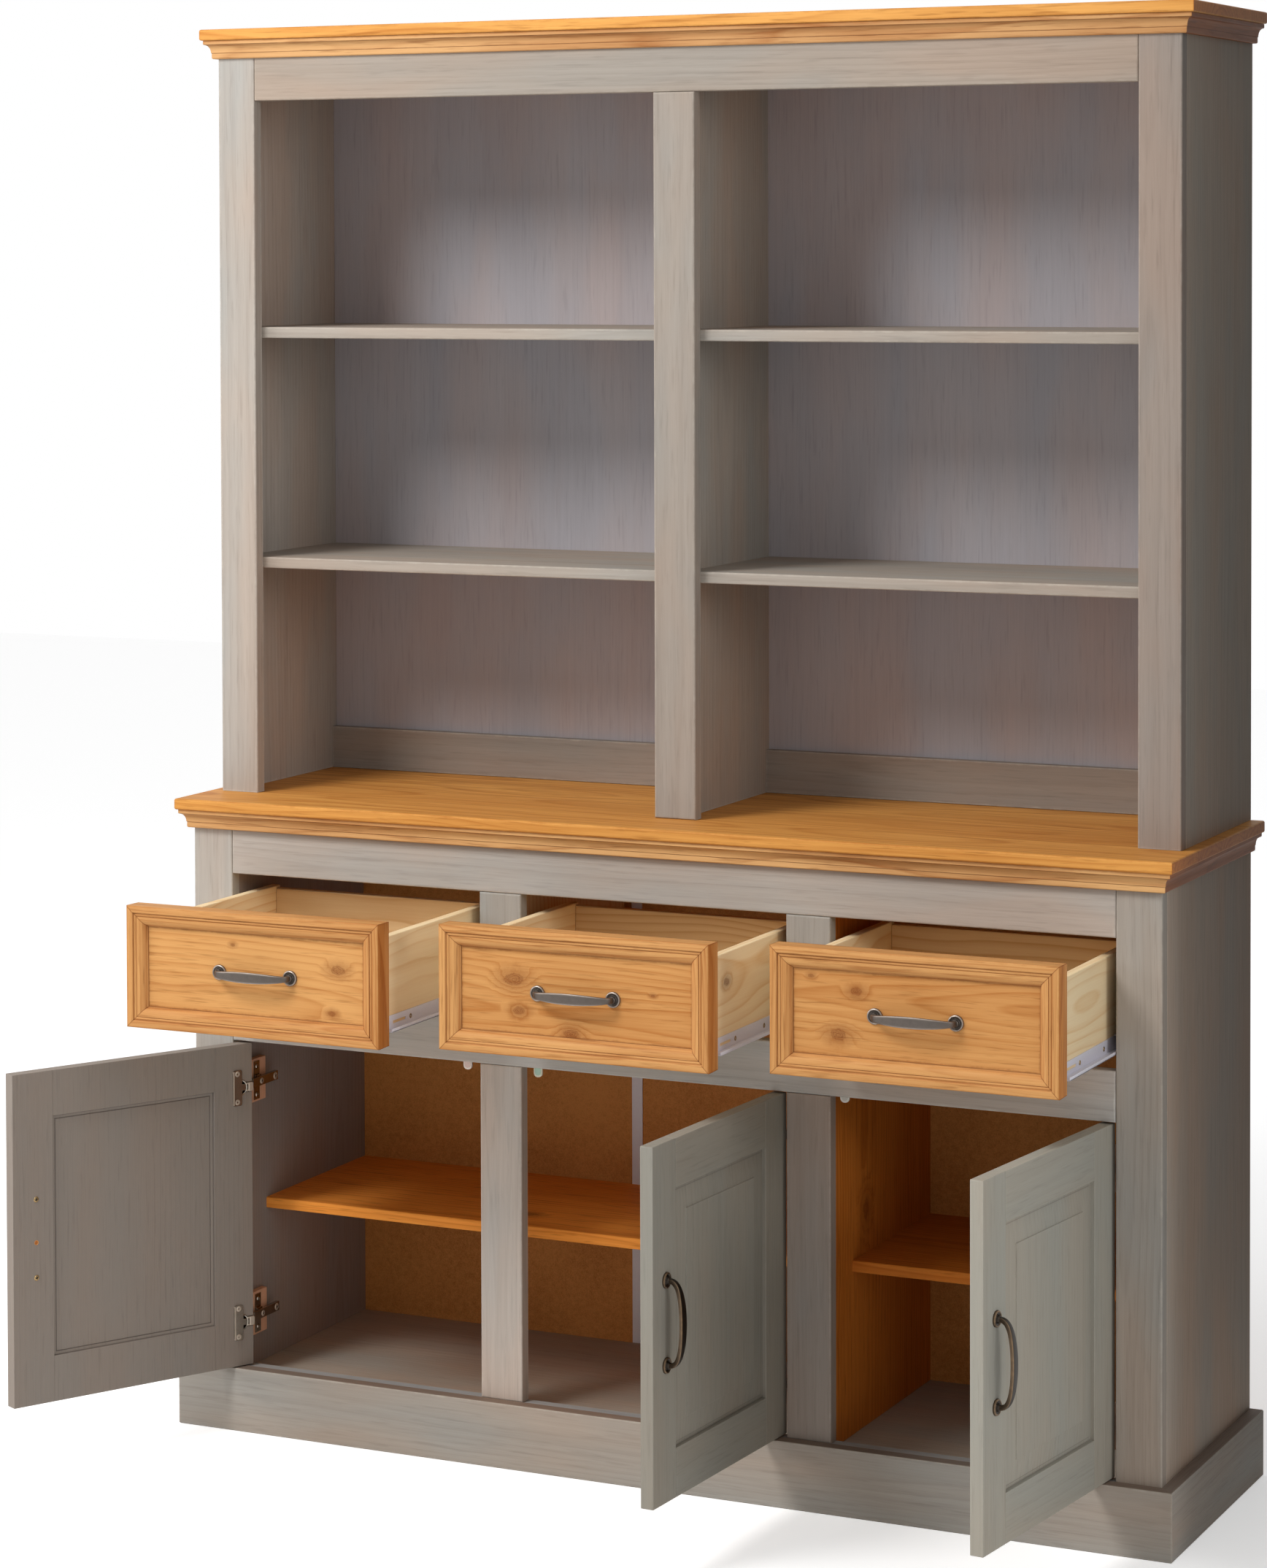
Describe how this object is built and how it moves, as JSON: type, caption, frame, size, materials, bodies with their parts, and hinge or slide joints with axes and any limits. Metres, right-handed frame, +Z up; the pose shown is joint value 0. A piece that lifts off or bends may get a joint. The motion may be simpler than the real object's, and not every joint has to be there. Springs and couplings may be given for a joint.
{
  "type": "buffet with hutch",
  "caption": "Pine buffet: a plinth base with drawers over doors, a moulded worktop, and an open hutch with shelves under a moulded crown; shown with its drawers and doors open.",
  "frame": {"origin": "on the floor, in the middle of the width, on the centre line of the plinth's front board", "axes": "+X to the viewer's right, front faces -Y, +Z up"},
  "size_m": [1.3875, 0.685, 1.766],
  "materials": {
    "grey_wash": "pine washed in grey-taupe stain under matt lacquer",
    "honey_pine": "pine stained honey, satin lacquer",
    "pale_pine": "natural planed pine",
    "hardboard": "brown hardboard",
    "antique_pewter": "antique pewter, brushed",
    "nickel": "nickel plated steel with a wood spacer"
  },
  "bodies": {
    "root": {"plinth": "grey_wash", "base_side_left": "grey_wash", "base_side_right": "grey_wash", "base_inner_side_left": "grey_wash", "base_inner_side_right": "grey_wash", "base_stile_left": "grey_wash", "base_stile_right": "grey_wash", "base_bottom_rail": "grey_wash", "base_mid_rail": "grey_wash", "base_top_rail": "grey_wash", "door_mullion_left": "grey_wash", "door_mullion_right": "grey_wash", "drawer_post_left": "grey_wash", "drawer_post_right": "grey_wash", "bottom_board": "grey_wash", "hutch_side_left": "grey_wash", "hutch_side_right": "grey_wash", "hutch_stile_left": "grey_wash", "hutch_stile_centre": "grey_wash", "hutch_stile_right": "grey_wash", "hutch_top_rail": "grey_wash", "hutch_partition": "grey_wash", "hutch_back": "grey_wash", "hutch_back_rail_left": "grey_wash", "hutch_back_rail_right": "grey_wash", "hutch_shelf_lower_left": "grey_wash", "hutch_shelf_lower_right": "grey_wash", "hutch_shelf_upper_left": "grey_wash", "hutch_shelf_upper_right": "grey_wash", "shelf_wide": "honey_pine", "shelf_narrow": "honey_pine", "base_divider": "honey_pine", "worktop": "honey_pine", "worktop_moulding": "honey_pine", "crown_board": "honey_pine", "crown_moulding": "honey_pine", "drawer_divider": "pale_pine", "runner_rail": "pale_pine", "base_back": "hardboard", "hinge_left_lower": "nickel", "hinge_left_upper": "nickel", "hinge_middle_lower": "nickel", "hinge_middle_upper": "nickel", "hinge_right_lower": "nickel", "hinge_right_upper": "nickel"},
    "drawer_left": {"drawer_left_front": "honey_pine", "drawer_left_box": "pale_pine", "drawer_left_handle": "antique_pewter"},
    "door_left": {"door_left": "grey_wash", "door_left_handle": "antique_pewter"},
    "drawer_middle": {"drawer_middle_front": "honey_pine", "drawer_middle_box": "pale_pine", "drawer_middle_handle": "antique_pewter"},
    "door_middle": {"door_middle": "grey_wash", "door_middle_handle": "antique_pewter"},
    "drawer_right": {"drawer_right_front": "honey_pine", "drawer_right_box": "pale_pine", "drawer_right_handle": "antique_pewter"},
    "door_right": {"door_right": "grey_wash", "door_right_handle": "antique_pewter"}
  },
  "joints": [
    {"name": "drawer_left_slide", "type": "slide", "parent": "root", "child": "drawer_left", "axis": [0, -1, 0], "range_m": [-0.259, 0.006]},
    {"name": "drawer_middle_slide", "type": "slide", "parent": "root", "child": "drawer_middle", "axis": [0, -1, 0], "range_m": [-0.224, 0.041]},
    {"name": "drawer_right_slide", "type": "slide", "parent": "root", "child": "drawer_right", "axis": [0, -1, 0], "range_m": [-0.192, 0.073]},
    {"name": "door_left_hinge", "type": "hinge", "parent": "root", "child": "door_left", "pos_m": [-0.568, 0.01365, 0.0815], "axis": [0, 0, -1], "range_deg": [-117.8, 2.2]},
    {"name": "door_middle_hinge", "type": "hinge", "parent": "root", "child": "door_middle", "pos_m": [0.164, 0.01365, 0.0815], "axis": [0, 0, 1], "range_deg": [-86.7, 23.3]},
    {"name": "door_right_hinge", "type": "hinge", "parent": "root", "child": "door_right", "pos_m": [0.568, 0.01365, 0.0815], "axis": [0, 0, 1], "range_deg": [-83.8, 26.2]}
  ]
}
